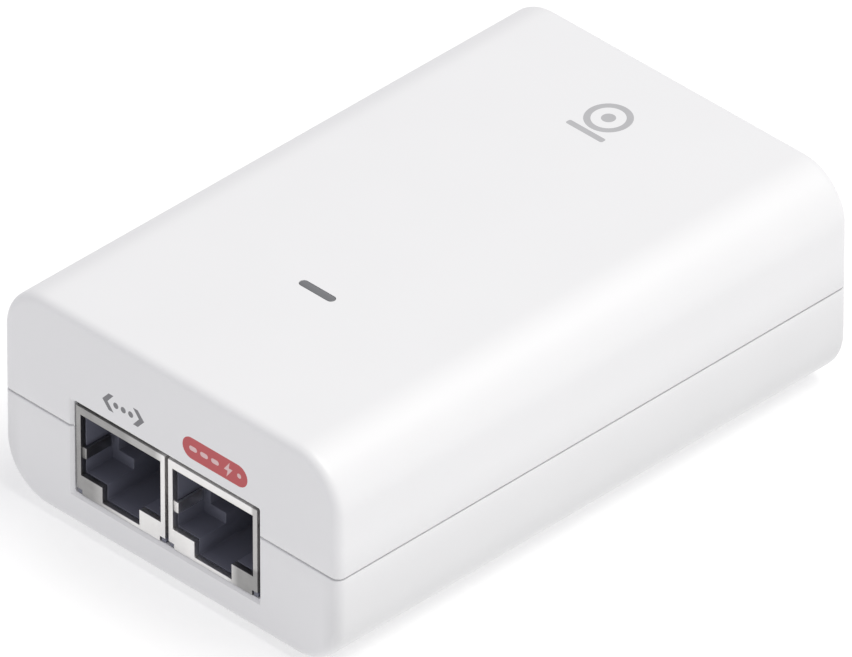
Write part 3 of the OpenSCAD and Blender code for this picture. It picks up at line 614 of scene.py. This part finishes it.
def wire(name, path, outward, radius, sides=10):
    """Round wire. With out pointing away from the core and side square to out and to the path, the ring at
    each point of the path is point + radius (cos t out + sin t side)."""
    along = np.gradient(path, axis=0)
    side = np.cross(along, outward)
    side /= np.linalg.norm(side, axis=1, keepdims=True)
    out = np.cross(side, along)
    out /= np.linalg.norm(out, axis=1, keepdims=True)
    turn = np.linspace(0, 2 * math.pi, sides + 1)[:-1][None, :, None]
    grid = path[:, None] + radius * (np.cos(turn) * out[:, None] + np.sin(turn) * side[:, None])
    last = (len(path) - 1) * sides
    caps = [list(range(sides)), list(range(last, last + sides))]
    return piece(name, grid, quads(len(path), sides, wrap_cols=True) + caps, 60.0)


def squared(wave, power=0.35):
    """A sine pushed towards its ends, which turns a circle into a rounded box."""
    return np.sign(wave) * np.abs(wave) ** power


CORE_MIDDLE, WRAP_OUT, WRAP_UP = 5.0, 1.85, 3.25


def ring_winding(node, start, sweep=120.0, turns=8):
    """Wire round a ring core. It circles the section while it goes along the ring: at t, the section angle is
    2 pi turns t and the ring angle start + sweep t."""
    low, high = span("choke_core")
    centre, middle = (low + high)[:2] / 2, (low[2] + high[2]) / 2
    t = np.linspace(0, 1, turns * 48 + 1)
    section = 2 * math.pi * turns * t
    around = np.radians(start + 4 + (sweep - 8) * t)
    reach = CORE_MIDDLE + WRAP_OUT * squared(np.cos(section))
    level = middle + WRAP_UP * squared(np.sin(section))
    spoke = np.column_stack([np.cos(around), np.sin(around), 0 * t])
    rise = np.array([0, 0, 1])
    path = spoke * reach[:, None] + np.outer(level, rise) + np.array([*centre, 0])
    outward = spoke * np.cos(section)[:, None] + np.outer(np.sin(section), rise)
    return wire(node + "_wire", path, outward, 0.4)


def drum_coil(node, radius=3.25, thick=0.2):
    """Wire in one close layer round the drum core: a plain helix whose pitch is the wire's own width."""
    low, high = span(node)
    centre = (low + high)[:2] / 2
    turns = (high[2] - low[2]) / (2 * thick) - 1
    t = np.linspace(0, 1, int(turns * 40))
    around = 2 * math.pi * turns * t
    level = low[2] + thick + (high[2] - low[2] - 2 * thick) * t
    outward = np.column_stack([np.cos(around), np.sin(around), 0 * t])
    path = outward * radius + np.array([centre[0], centre[1], 0]) + np.outer(level, (0, 0, 1))
    return wire(node + "_wire", path, outward, thick)


for node, made in (("choke_winding_line", ring_winding("choke_winding_line", 30)),
                   ("choke_winding_neutral", ring_winding("choke_winding_neutral", 210)),
                   ("output_inductor_coil", drum_coil("output_inductor_coil"))):
    parts[node] = made
    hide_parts(node)
    print(made.name, "open edges and mm3:", open_edges(made))

# %% [markdown]
# ## Rating label
# The label on the underside is a thin film with round corners. A fine border and rows of blank bars stand
# for its print, so it reads as a label without saying anything.

# %% Label and its blank rules
LABEL_MIDDLE = (label_low + label_high)[:2] / 2
LABEL_W, LABEL_L = (label_high - label_low)[:2]
INK_T = 0.06


def label_bar(x, y, width, height):
    """One bar of the label's print, placed from the label's middle."""
    corner = min(0.4, height / 2.2)
    return round_box(width, height, corner, centre=LABEL_MIDDLE + np.array([x, y]))


def label_ink(low, high):
    """The print as one piece: a thin frame, and bars for lines of print."""
    bars = [label_bar(-5 + shift, 15 - 2.6 * row, 18 + 2 * shift, 0.7)
            for row, shift in enumerate((0, -2.5, -1, -3.5, -0.5))]
    bars += [label_bar(x, -4.5, 7.5, 5.0) for x in (-9.5, 0.0, 9.5)]
    bars += [label_bar(0, y, 26, 0.5) for y in (0, -9, -12, -15)]
    outer = round_box(LABEL_W - 2, LABEL_L - 2, 1.4, centre=LABEL_MIDDLE)
    inner = round_box(LABEL_W - 2.6, LABEL_L - 2.6, 1.1, centre=LABEL_MIDDLE)
    border = carve(prism("label_ink", [outer], low, high), prism("inner", [inner], low - 1, high + 1))
    return carve(border, prism("bars", bars, low, high), "UNION")


label_outline = round_box(LABEL_W, LABEL_L, 2.0, centre=LABEL_MIDDLE)
label = prism("label_film", [label_outline], label_low[2], label_high[2])
carve(label, label_ink(label_low[2] - 1, label_low[2] + INK_T))
label_print = label_ink(label_low[2], label_low[2] + INK_T)
label_print.name = "label_print"
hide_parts("rating_label")
print("label and its print, open edges and mm3:", open_edges(label), open_edges(label_print))

# %% [markdown]
# ## Finishes
# A material is arithmetic on patterns: so much of a noise, plus a band along an edge, gives a roughness.
# Written as node calls this gets long, so a socket is wrapped in a small class whose + - * / add the Math
# nodes. Positions are in millimetres from the object's own coordinates, so grain has its true size.

# %% Shader arithmetic


class Wire:
    """An output socket. Sums of wires and numbers add Math nodes to its material."""

    def __init__(self, finish, socket):
        self.finish, self.socket = finish, socket

    def math(self, operation, *terms):
        return self.finish.node("ShaderNodeMath", {"operation": operation}, dict(enumerate(terms)))

    def __add__(self, other):
        return self.math("ADD", self, other)

    def __sub__(self, other):
        return self.math("SUBTRACT", self, other)

    def __rsub__(self, other):
        return self.math("SUBTRACT", other, self)

    def __mul__(self, other):
        return self.math("MULTIPLY", self, other)

    def __truediv__(self, other):
        return self.math("DIVIDE", self, other)

    __radd__, __rmul__ = __add__, __mul__

    def size(self):
        """The value without its sign."""
        return self.math("ABSOLUTE", self)

    def clipped(self):
        """The value held between 0 and 1."""
        return self.math("MINIMUM", self.math("MAXIMUM", self, 0.0), 1.0)

    def over(self, level, spread):
        """0 below the level, 1 once it is exceeded by the spread."""
        return ((self - level) / spread).clipped()

    def near(self, level, reach):
        """1 at the level, falling to 0 at that distance from it."""
        return (1 - (self - level).size() / reach).clipped()


class Finish:
    """A material around one Principled shader. Fixed values go on the shader's own sockets."""

    def __init__(self, name, **fixed):
        self.material = bpy.data.materials.new(name)
        self.material.use_nodes = True
        self.tree = self.material.node_tree
        self.shader = self.tree.nodes["Principled BSDF"]
        for socket, value in fixed.items():
            self.feed(socket.replace("_", " "), value)
        self.place = self.node("ShaderNodeTexCoord", output="Object")

    def feed(self, socket, value):
        """Sets or links a socket, given as itself or by its name on the shader."""
        socket = self.shader.inputs[socket] if isinstance(socket, str) else socket
        if isinstance(value, Wire):
            self.tree.links.new(value.socket, socket)
        elif socket.type == "RGBA":
            socket.default_value = (*value, 1.0)
        else:
            socket.default_value = value

    def node(self, kind, settings=None, inputs=None, output=0):
        """Adds any node: first its settings, then the values or links of its sockets."""
        made = self.tree.nodes.new(kind)
        for name, value in (settings or {}).items():
            setattr(made, name, value)
        for name, value in (inputs or {}).items():
            self.feed(made.inputs[name], value)
        return Wire(self, made.outputs[output])

    def axes(self):
        """Position in millimetres, as three wires."""
        split = [self.node("ShaderNodeSeparateXYZ", inputs={0: self.place}, output=axis) for axis in range(3)]
        return [part * (1 / MM) for part in split]

    def noise(self, size, stretch=(1, 1, 1), detail=2.0, rough=0.5):
        """Noise from 0 to 1 whose blotches are about that many millimetres, longer along a stretched axis."""
        scale = tuple(1 / (size * MM * part) for part in stretch)
        place = self.node("ShaderNodeMapping", inputs={"Vector": self.place, "Scale": scale})
        return self.node("ShaderNodeTexNoise", inputs={"Vector": place, "Scale": 1.0, "Detail": detail,
                                                       "Roughness": rough})

    def cells(self, size):
        """Distance within cells about that many millimetres wide, for sintered or speckled grain."""
        return self.node("ShaderNodeTexVoronoi", inputs={"Vector": self.place, "Scale": 1 / (size * MM)})

    def mix(self, factor, first, second):
        """A colour between two colours."""
        return self.node("ShaderNodeMix", {"data_type": "RGBA"}, {0: factor, 6: first, 7: second}, output=2)

    def relief(self, height):
        """Bumps the surface by a height in millimetres."""
        bump = self.node("ShaderNodeBump", inputs={"Strength": 1.0, "Distance": MM, "Height": height})
        self.feed("Normal", bump)

    def done(self, colour, roughness):
        """Links what varies and returns the material."""
        self.feed("Base Color", colour)
        self.feed("Roughness", roughness)
        return self.material


def tinted(colour, factor):
    """A colour made lighter or darker."""
    return tuple(min(1.0, part * factor) for part in colour)


print("a grey 20 % lighter:", tinted((0.5, 0.5, 0.5), 1.2))

# %% [markdown]
# ## Plastics, rubber and prints
# White moulded plastic is never one white. The tool's spark-eroded grain softens its gloss, a faint cloud
# of warmer and cooler tone runs through it, hands polish its edges, and the seam gathers a little dust.
# The dark plastics show the same grain, and prints keep their own slightly thicker, smoother film.

# %% Plastic, rubber and print finishes


def moulded(name, colour, grain=0.25, depth=0.0022, roughness=0.42, cloud=0.035, **fixed):
    """Moulded plastic: cloudy colour, spark-eroded grain, faint scuffs in the gloss."""
    skin = Finish(name, **fixed)
    tone = skin.noise(14.0, detail=3.0)
    fine = skin.noise(grain, detail=3.0, rough=0.6)
    scuffs = skin.noise(1.4, stretch=(9, 1, 1), detail=4.0, rough=0.65).over(0.62, 0.1)
    skin.relief(fine * depth - scuffs * 0.0006)
    body = skin.mix(tone, tinted(colour, 1 - cloud), tinted(colour, 1 + cloud))
    return skin, body, roughness + (fine - 0.5) * 0.12 + scuffs * 0.07


SHELL_COLOUR = (0.80, 0.80, 0.805)


def shell_plastic():
    """White case: moulded plastic with dust in the seam, polish on the edges of both ends, and painted shade
    that darkens the long sides towards the bottom."""
    skin, body, roughness = moulded("shell_white_plastic", SHELL_COLOUR, cloud=0.012)
    x, y, z = skin.axes()
    polish = y.size().over(REAR - END_R, END_R)
    dust = z.near(SEAM + SEAM_GAP / 2, 0.35) * skin.noise(2.5, detail=3.0).over(0.3, 0.5) * (1 - polish)
    body = skin.mix(dust * 0.25, body, (0.52, 0.51, 0.49))
    # Painted shade: the long sides are darkened towards the bottom, with a little noise in it.
    low_side = x.size().over(HALF_W - 3, 2.5) * (1 - z.over(6.0, 14.0))
    painted_side_shade = low_side * (0.85 + skin.noise(9.0, detail=3.0) * 0.3)
    body = skin.mix(painted_side_shade * 0.6, body, tinted(SHELL_COLOUR, 0.78))
    return skin.done(body, roughness - polish * 0.1 + painted_side_shade * 0.05)


def plain_plastic(name, colour, roughness=0.45, **more):
    """Any other moulded part."""
    skin, body, gloss = moulded(name, colour, roughness=roughness, **more)
    return skin.done(body, gloss)


def rubber():
    """Foot: grey elastomer with a matt, dusty skin."""
    skin = Finish("foot_grey_rubber", Specular_IOR_Level=0.3)
    dust = skin.noise(1.1, detail=5.0, rough=0.7).over(0.5, 0.25)
    pores = skin.cells(0.35)
    skin.relief(pores * 0.012)
    return skin.done(skin.mix(dust * 0.5, (0.07, 0.07, 0.072), (0.16, 0.155, 0.15)), 0.78 + dust * 0.12)


def print_film(name, colour, roughness=0.4, wear=0.25):
    """Printed ink: even colour with a slight screen texture, thinner in small worn specks."""
    skin = Finish(name, Specular_IOR_Level=0.45)
    speck = skin.noise(0.5, detail=4.0, rough=0.7).over(0.66, 0.06)
    cloud = skin.noise(3.0, detail=2.0)
    screen = skin.noise(0.12, detail=1.0)
    skin.relief(screen * 0.002 - speck * 0.002)
    ink = skin.mix(cloud, tinted(colour, 0.94), tinted(colour, 1.06))
    ink = skin.mix(speck * wear, ink, tinted(colour, 1.35))
    return skin.done(ink, roughness + speck * 0.15 + cloud * 0.05)


def smoked_light():
    """Light bar: smoked clear plastic, glossy, with moulding swirls under the surface."""
    skin = Finish("light_bar_smoked", Coat_Weight=0.5, Coat_Roughness=0.08, IOR=1.49)
    swirl = skin.noise(0.8, stretch=(3, 1, 1), detail=3.0)
    skin.relief(skin.noise(0.3, detail=2.0) * 0.001)
    return skin.done(skin.mix(swirl, (0.13, 0.133, 0.14), (0.18, 0.183, 0.19)), 0.3 + swirl * 0.1)


print("dust lies round the seam at", SEAM + SEAM_GAP / 2, "mm")

# %% [markdown]
# ## Metals
# A metal's colour is in its reflections, so what makes it real is how rough it is and in which direction.
# Stamped, tin-plated steel keeps fine rolling lines, plated pins are drawn lengthwise, and a contact is
# rubbed bright where a plug slides.

# %% Metal finishes


def stamped_metal(name, colour, stretch, roughness=0.28, tarnish=0.12, film=None):
    """Sheet or drawn metal with grain along one axis and a cloudy tarnish. film takes the three position
    wires and tells where a grey film of painted shade lies, from 0 to 1."""
    skin = Finish(name, Metallic=1.0)
    lines = skin.noise(0.06, stretch=stretch, detail=4.0, rough=0.6)
    cloud = skin.noise(2.2, detail=4.0, rough=0.6)
    spots = skin.noise(0.7, detail=5.0, rough=0.7).over(0.68, 0.08)
    skin.relief(lines * 0.0018 - spots * 0.001)
    body = skin.mix(cloud, tinted(colour, 1 - tarnish), tinted(colour, 1 + tarnish / 2))
    body = skin.mix(spots * 0.4, body, tinted(colour, 0.6))
    if film:
        # Painted shade: a grey film darkens the metal where film says, standing in for darker reflections.
        body = skin.mix(film(*skin.axes()).clipped() * (0.75 + cloud * 0.3), body, tinted(colour, 0.33))
    return skin.done(body, roughness + (lines - 0.5) * 0.2 + cloud * 0.08 + spots * 0.15)


def jack_painted_shade(x, y, z):
    """Painted shade and dark reflections on the jack cans: over the left one's top rim and both outer sides.
    """
    left_side = 1 - x.over(-14.0, 7.0)
    left_rim = z.over(17.4, 0.5) * (1 - x.over(-3.0, 1.5)) * 0.8
    right_side = x.over(9.5, 2.0) * (1 - z.over(8.5, 1.5)) + x.over(13.8, 0.4) * 0.65
    return left_side + left_rim + right_side


print("top rim of the cans at", lan_high[2], "mm")

# %% [markdown]
# ## Board and its parts
# Inside, each material has its own habit: woven glass under green lacquer, sintered ferrite with open
# pores, dipped epoxy that runs and beads, enamelled wire, shrink sleeve with a printed stripe.

# %% Finishes of the electronics


def circuit_board():
    """Green solder lacquer over woven glass, with copper tracks that show as lighter, raised lanes."""
    skin = Finish("board_green_lacquer", Coat_Weight=0.3, Coat_Roughness=0.2)
    height = skin.axes()[2]
    weave = skin.node("ShaderNodeTexChecker", inputs={"Vector": skin.place, "Scale": 2200.0}, output=1)
    lanes = skin.node("ShaderNodeTexVoronoi", {"distance": "CHEBYCHEV", "feature": "F1"},
                      {"Vector": skin.place, "Scale": 190.0, "Randomness": 0.85})
    track = (lanes.near(0.33, 0.05) + lanes.near(0.62, 0.04)).clipped()
    cloud = skin.noise(6.0, detail=3.0)
    skin.relief(weave * 0.002 + track * 0.03)
    ground = skin.mix(cloud, (0.012, 0.105, 0.04), (0.018, 0.135, 0.052))
    side = skin.mix(height.near((BOARD_TOP + BOARD_LOW) / 2, 0.77), ground, (0.36, 0.33, 0.17))
    return skin.done(skin.mix(track * 0.6, side, (0.05, 0.24, 0.09)), 0.36 + weave * 0.06 + cloud * 0.08)


def sintered(name, colour):
    """Ferrite: dark, slightly glittering ceramic with pores and chipped specks."""
    skin = Finish(name, Specular_IOR_Level=0.6)
    pores = skin.cells(0.4)
    chips = skin.noise(0.9, detail=5.0, rough=0.7).over(0.64, 0.06)
    skin.relief(pores * 0.02 - chips * 0.03)
    body = skin.mix(pores, tinted(colour, 0.8), tinted(colour, 1.5))
    return skin.done(body, 0.5 + pores * 0.2 - chips * 0.1)


def dipped(name, colour, roughness=0.3):
    """Dipped epoxy: glossy, slightly beaded, with dust pinholes."""
    skin = Finish(name, Coat_Weight=0.35, Coat_Roughness=0.15)
    bead = skin.noise(1.8, detail=2.0)
    holes = skin.noise(0.3, detail=3.0).over(0.7, 0.05)
    skin.relief(bead * 0.05 - holes * 0.02)
    body = skin.mix(bead, tinted(colour, 0.85), tinted(colour, 1.12))
    return skin.done(body, roughness + bead * 0.1 + holes * 0.3)


def enamelled_copper():
    """Winding wire: copper under amber enamel, a little darker from turn to turn."""
    skin = Finish("wire_enamelled_copper", Metallic=0.85, Coat_Weight=0.6, Coat_Roughness=0.12)
    tone = skin.noise(1.6, detail=3.0)
    skin.relief(skin.noise(0.15, detail=2.0) * 0.004)
    return skin.done(skin.mix(tone, (0.50, 0.19, 0.07), (0.72, 0.31, 0.12)), 0.26 + tone * 0.12)


def wrapped(name, colour, sheen=0.3):
    """Tape, film and sleeve: thin plastic with long wrinkles and a slow change of tone."""
    skin = Finish(name, Specular_IOR_Level=0.5)
    wrinkle = skin.noise(1.2, stretch=(1, 6, 1), detail=3.0)
    tone = skin.noise(5.0, detail=2.0)
    skin.relief(wrinkle * 0.02)
    return skin.done(skin.mix(tone, tinted(colour, 0.92), tinted(colour, 1.08)), sheen + wrinkle * 0.15)


FINISHES = {
    "shell": shell_plastic(),
    "foot_rubber": rubber(),
    "light_bar": smoked_light(),
    "red_print": print_film("print_red", (0.50, 0.07, 0.078)),
    "white_print": print_film("print_pink_white", (0.72, 0.50, 0.50)),
    "grey_print": print_film("print_grey", (0.19, 0.19, 0.20)),
    "pale_print": print_film("print_pale_grey", (0.46, 0.46, 0.47)),
    "label_film": print_film("label_silver_film", (0.62, 0.62, 0.63), roughness=0.35, wear=0.1),
    "jack_metal": stamped_metal("jack_tinned_steel", (0.80, 0.79, 0.78), (1, 1, 14), film=jack_painted_shade),
    "black_plastic": plain_plastic("socket_black_plastic", (0.02, 0.021, 0.028), roughness=0.4),
    "jack_black": plain_plastic("jack_blue_black_plastic", (0.145, 0.15, 0.192), roughness=0.42),
    "gold": stamped_metal("contact_gold", (0.86, 0.60, 0.24), (1, 14, 1), roughness=0.2),
    "nickel": stamped_metal("pin_nickel", (0.74, 0.71, 0.66), (1, 14, 1), roughness=0.22),
    "board": circuit_board(),
    "film": wrapped("insulation_film", (0.74, 0.72, 0.66)),
    "ferrite": sintered("core_ferrite", (0.045, 0.045, 0.05)),
    "copper": enamelled_copper(),
    "tape": wrapped("winding_tape", (0.78, 0.52, 0.06)),
    "yellow_case": plain_plastic("capacitor_yellow_case", (0.72, 0.50, 0.05), roughness=0.38),
    "blue_coat": dipped("coat_blue", (0.04, 0.12, 0.36)),
    "green_coat": dipped("coat_green", (0.05, 0.22, 0.09)),
    "capacitor_sleeve": wrapped("sleeve_black", (0.03, 0.03, 0.034), sheen=0.35),
    "heat_sink": stamped_metal("heat_sink_aluminium", (0.72, 0.72, 0.73), (1, 14, 1), roughness=0.42),
    "screw_steel": stamped_metal("screw_zinc_steel", (0.62, 0.62, 0.60), (1, 1, 4), roughness=0.3),
    "led": dipped("led_clear_epoxy", (0.75, 0.78, 0.74), roughness=0.15),
}


def paint(thing, finish):
    """Gives a piece its one finish."""
    thing.data.materials.clear()
    thing.data.materials.append(FINISHES[finish])


print("finishes:", len(FINISHES))

# %% [markdown]
# ## Finish every piece
# Every node now has a piece that stands in for it and takes its slot, so nothing in the model is left
# plain. Extra pieces, such as the lids and the light print on the pill, take the slot nearest to them.
# All of them belong to the one body, root, because nothing on this object moves.

for made, slot in ((cover, "shell"), (base, "shell"), (pill, "red_print"), (network_sign, "grey_print"),
                   (top_mark, "pale_print"), (label, "label_film"), (label_print, "grey_print")):
    paint(made, slot)
paint(power_sign, "white_print")
for made in lids:
    paint(made, "heat_sink")
for node, made in parts.items():
    paint(made, "jack_black" if node.endswith("jack_housing") else SLOT_OF[node])
outside = [cover, base, pill, power_sign, network_sign, top_mark, label, label_print]
for made in [*outside, *lids, *parts.values()]:
    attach(made, "root")
print("nodes left plain:", [node for node, thing in frame["nodes"].items() if not thing.hide_render])

# %% [markdown]
# ## Studio
# A pale floor and soft light from all round keep a white object readable. The sky is even and slightly
# cool. One large, slightly warm lamp hangs high on the right, so the top and the right side come out
# lighter than the front. The floor glows a little, as a lit table does, which keeps it white right up to
# the soft shadow. Several small lamps would do as well, but each would add a shadow of its own.

# %% Floor, light and camera
FLOOR_REACH = 6.0
SKY_COLOUR, SKY_STRENGTH = (0.95, 0.94, 1.0, 1.0), 0.555
KEY_PLACE, KEY_AIM = Vector((0.42, 0.15, 1.07)), Vector((0, 0, 0.016))
KEY_SIZE, KEY_POWER, KEY_COLOUR = 0.8, 9.5, (1.0, 0.998, 0.95)

scene = bpy.context.scene
scene.view_settings.view_transform = "Standard"

floor_mesh = bpy.data.meshes.new("floor")
corners = [(x * FLOOR_REACH, y * FLOOR_REACH, 0) for x, y in ((-1, -1), (1, -1), (1, 1), (-1, 1))]
floor_mesh.from_pydata(corners, [], [(0, 1, 2, 3)])
floor = bpy.data.objects.new("floor", floor_mesh)
scene.collection.objects.link(floor)
ground = Finish("floor_pale", Specular_IOR_Level=0.1, Emission_Color=(1.0, 1.0, 1.0), Emission_Strength=0.45)
tone = ground.noise(900.0, detail=2.0)
pale = ground.mix(tone, (0.60, 0.60, 0.60), (0.62, 0.62, 0.62))
floor.data.materials.append(ground.done(pale, 0.85 + tone * 0.05))

world = bpy.data.worlds.new("studio")
scene.world = world
world.use_nodes = True
sky = world.node_tree.nodes["Background"]
sky.inputs["Color"].default_value = SKY_COLOUR
sky.inputs["Strength"].default_value = SKY_STRENGTH

light = bpy.data.lights.new("key_lamp", "AREA")
light.shape, light.size, light.energy, light.color = "SQUARE", KEY_SIZE, KEY_POWER, KEY_COLOUR
key = bpy.data.objects.new("key_lamp", light)
scene.collection.objects.link(key)
key.rotation_mode = "QUATERNION"
key.rotation_quaternion = (KEY_AIM - KEY_PLACE).to_track_quat("-Z", "Y")
key.location = KEY_PLACE
key.visible_camera = False

AIM = (0.0, 0.0, MIDDLE * MM)
AZIMUTH, ELEVATION = math.radians(45), math.radians(35.26)
DISTANCE, LENS = 2.9218, 1000.0
camera_data = bpy.data.cameras.new("camera")
camera_data.lens, camera_data.sensor_width = LENS, 36.0
camera_data.clip_start, camera_data.clip_end = 0.1, 12.0
camera_data.shift_x = -0.0012
camera = bpy.data.objects.new("camera", camera_data)
scene.collection.objects.link(camera)
flat = math.cos(ELEVATION)
outward = (flat * math.sin(AZIMUTH), -flat * math.cos(AZIMUTH), math.sin(ELEVATION))
camera.location = [middle + DISTANCE * part for middle, part in zip(AIM, outward)]
camera.rotation_euler = (math.pi / 2 - ELEVATION, 0, AZIMUTH)
scene.camera = camera
print("camera at", [round(part, 3) for part in camera.location])
